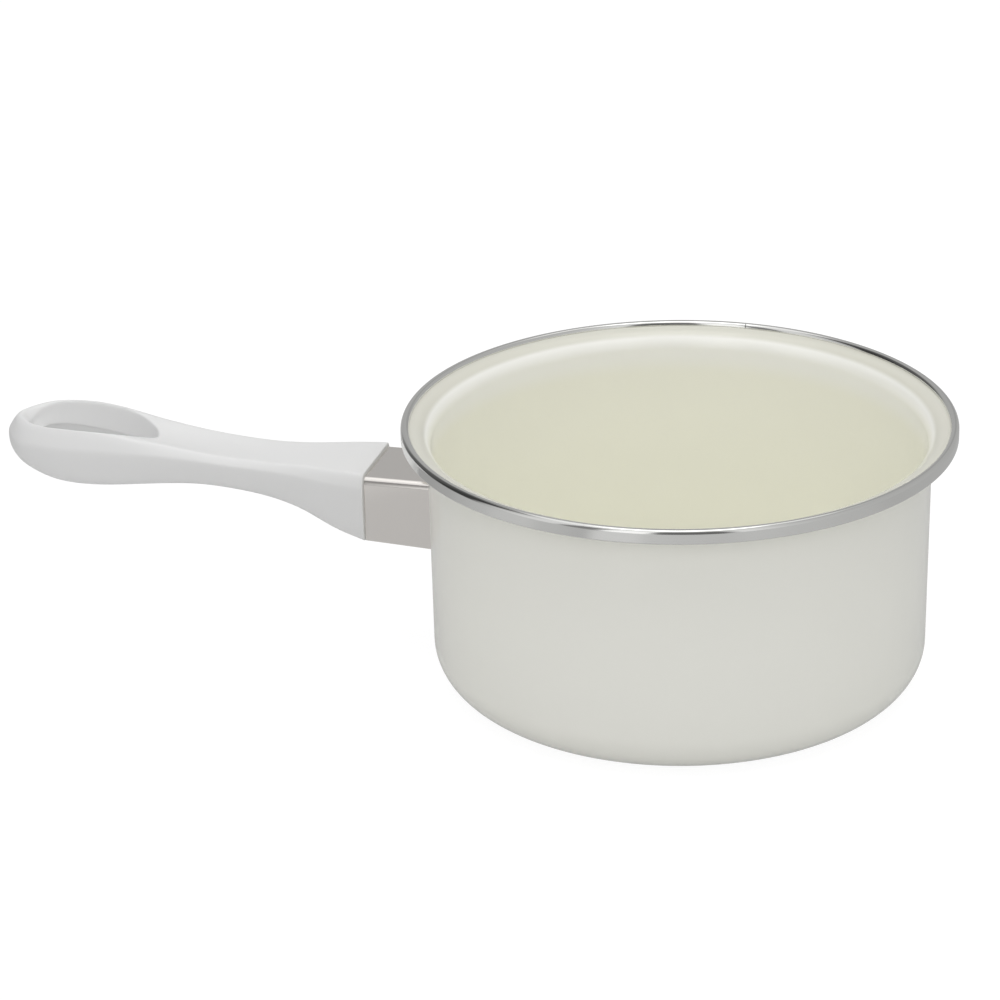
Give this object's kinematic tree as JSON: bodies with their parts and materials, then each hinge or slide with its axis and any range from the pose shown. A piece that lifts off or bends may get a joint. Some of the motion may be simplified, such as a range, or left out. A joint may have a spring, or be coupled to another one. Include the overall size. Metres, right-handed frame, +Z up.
{
  "type": "milk pan",
  "caption": "Straight-sided enamelled milk pan with a flared, steel-banded rim and a long moulded side handle that ends in a hanging loop.",
  "frame": {"origin": "centre of the bowl's flat underside, on the surface it stands on", "axes": "+Z up along the bowl's axis; the handle runs along -X; the part mirrors about the XZ plane, apart from the butt joint in the rim band"},
  "size_m": [0.3187, 0.1764, 0.0876],
  "materials": {
    "white_enamel": "glossy warm-white enamel fused on pressed steel",
    "cream_enamel": "glossy cream enamel coat",
    "polished_stainless": "polished stainless strip",
    "satin_stainless": "satin stainless sheet",
    "white_phenolic": "semi-gloss white moulding",
    "bracket_enamel": "enamelled pressed steel",
    "zinc_steel": "bright zinc plate"
  },
  "bodies": {
    "root": {"pan_body": "white_enamel", "cream_lining": "cream_enamel", "rim_band": "polished_stainless", "handle_bracket": "bracket_enamel", "bracket_nut": "zinc_steel", "ferrule": "satin_stainless", "handle": "white_phenolic", "handle_screw": "zinc_steel", "flat_washer": "zinc_steel", "spring_washer": "zinc_steel"}
  },
  "joints": []
}
